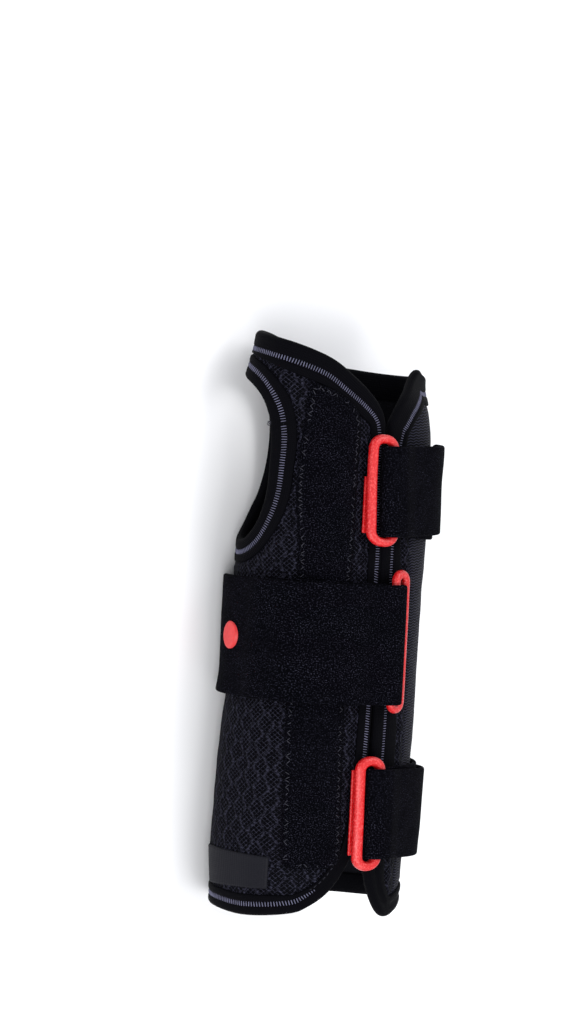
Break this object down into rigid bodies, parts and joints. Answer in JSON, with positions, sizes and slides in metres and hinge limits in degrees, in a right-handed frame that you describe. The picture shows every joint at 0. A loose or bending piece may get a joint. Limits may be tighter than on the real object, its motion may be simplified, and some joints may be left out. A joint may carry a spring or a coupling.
{
  "type": "wrist brace",
  "caption": "Wrist brace for a right hand: padded mesh wrap with a thumb hole, bound edges, an elastic side, a back pocket and three straps folded through red slot rings.",
  "frame": {"origin": "middle of the bounding box at the floor, with the brace lying on its palm side", "axes": "+Y from the forearm to the fingers, +Z from the palm to the back of the hand, -X to the thumb side"},
  "size_m": [0.0768, 0.1968, 0.0623],
  "materials": {
    "spacer_mesh": "black spacer mesh over thin foam",
    "ribbed_elastic": "black ribbed elastic",
    "binding_tape": "smooth black knitted tape",
    "loop_velour": "black brushed loop velour",
    "red_nylon": "fine grained red moulded nylon",
    "red_rubber": "satin red moulded rubber",
    "label_satin": "dark grey woven satin, bare"
  },
  "bodies": {
    "root": {"padded_shell": "spacer_mesh", "opening_strip": "spacer_mesh", "elastic_panel": "ribbed_elastic", "edge_binding": "binding_tape", "thumb_hole_binding": "binding_tape", "stay_pocket": "loop_velour", "hand_strap": "loop_velour", "wrist_strap": "loop_velour", "forearm_strap": "loop_velour", "hand_ring": "red_nylon", "wrist_ring": "red_nylon", "forearm_ring": "red_nylon", "strap_dot": "red_rubber", "blank_label": "label_satin"}
  },
  "joints": []
}
